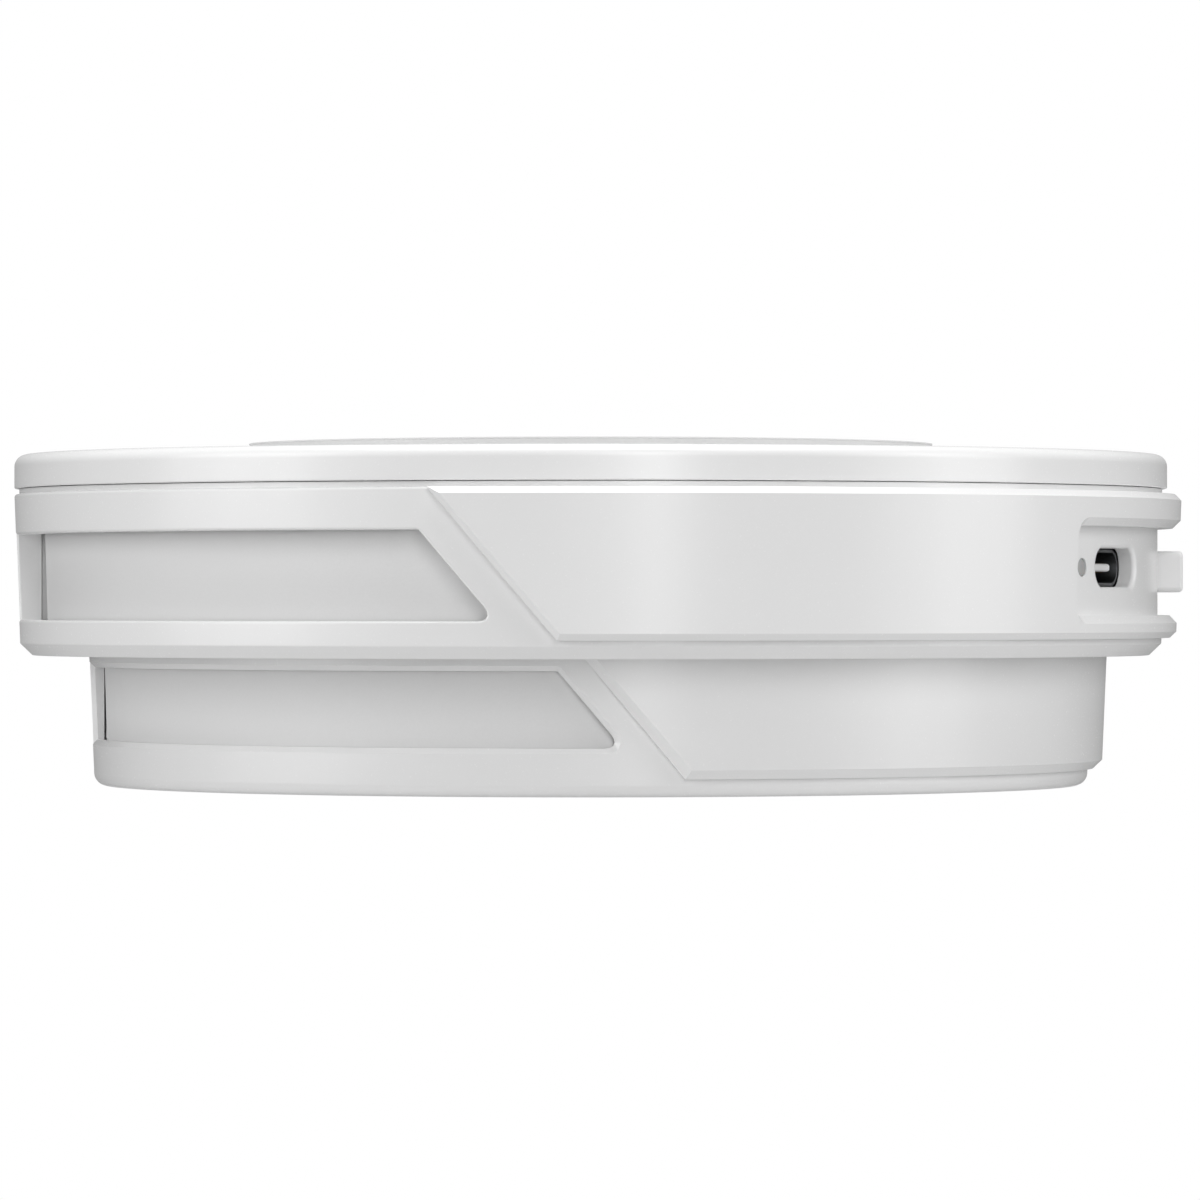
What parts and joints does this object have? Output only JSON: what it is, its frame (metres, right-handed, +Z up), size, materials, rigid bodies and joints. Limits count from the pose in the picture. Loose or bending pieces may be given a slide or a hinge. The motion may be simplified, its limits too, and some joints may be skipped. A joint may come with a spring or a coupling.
{
  "type": "carbon monoxide detector",
  "caption": "Round stepped ceiling carbon monoxide detector with side vents, raised side bands, USB-C inlet, side button, test button and a bayonet mounting plate.",
  "frame": {"origin": "centre of the mounting face against the ceiling, on the axis of the round body", "axes": "+Z up towards the ceiling along the axis, +X towards the side button, -Y the side with the port"},
  "size_m": [0.1012, 0.1026, 0.0296],
  "materials": {
    "white_shell": "satin moulded ABS",
    "white_insert": "fine matt moulded ABS",
    "white_button": "satin moulded ABS",
    "grey_foam": "closed-cell foam",
    "steel": "zinc plated",
    "board": "solder resist over glass epoxy",
    "shield": "tinned sheet",
    "capacitor_can": "drawn can",
    "ferrite": "ferrite",
    "sensor_can": "moulded polymer cell",
    "black_plastic": "moulded black",
    "switch_stem": "moulded black",
    "piezo_brass": "rolled sheet",
    "cell_foil": "laminated foil pouch",
    "ivory_plastic": "moulded nylon",
    "lead_sheath": "extruded sheath",
    "port_steel": "drawn and plated",
    "port_tongue": "moulded liquid crystal polymer",
    "led_body": "moulded",
    "light_guide": "diffusing acrylic"
  },
  "bodies": {
    "bracket": {"adhesive_pad": "grey_foam", "mounting_plate": "white_shell"},
    "detector": {"rear_cover": "white_shell", "upper_housing": "white_shell", "front_cover": "white_shell", "upper_vent_liner": "white_insert", "lower_vent_liner": "white_insert", "co_sensor_gasket": "grey_foam", "sounder_gasket": "grey_foam", "battery_pad": "grey_foam", "case_screws": "steel", "board_screws": "steel", "insect_screen": "steel", "main_board": "board", "control_module": "shield", "board_capacitors": "capacitor_can", "boost_inductor": "ferrite", "co_sensor": "sensor_can", "sounder_case": "black_plastic", "side_switch": "black_plastic", "test_switch": "black_plastic", "sounder_disc": "piezo_brass", "battery_cell": "cell_foil", "battery_plug": "ivory_plastic", "battery_socket": "ivory_plastic", "battery_lead": "lead_sheath", "usb_c_shell": "port_steel", "usb_c_tongue": "port_tongue", "side_led": "led_body", "status_leds": "led_body", "side_light_pipe": "light_guide", "light_ring": "light_guide"},
    "side_button": {"side_button": "white_button", "side_switch_plunger": "switch_stem"},
    "test_button": {"test_button": "white_button", "test_switch_plunger": "switch_stem"}
  },
  "joints": [
    {"name": "bayonet_twist", "type": "hinge", "parent": "bracket", "child": "detector", "pos_m": [0, 0, -0.005], "axis": [0, 0, -1], "range_deg": [0, 14]},
    {"name": "side_button_press", "type": "slide", "parent": "detector", "child": "side_button", "axis": [-1, 0, 0], "range_m": [0, 0.0005], "stiffness_N_per_m": 1500, "springref_m": -0.0006},
    {"name": "test_button_press", "type": "slide", "parent": "detector", "child": "test_button", "axis": [0, 0, 1], "range_m": [0, 0.0008], "stiffness_N_per_m": 1200, "springref_m": -0.0006}
  ]
}
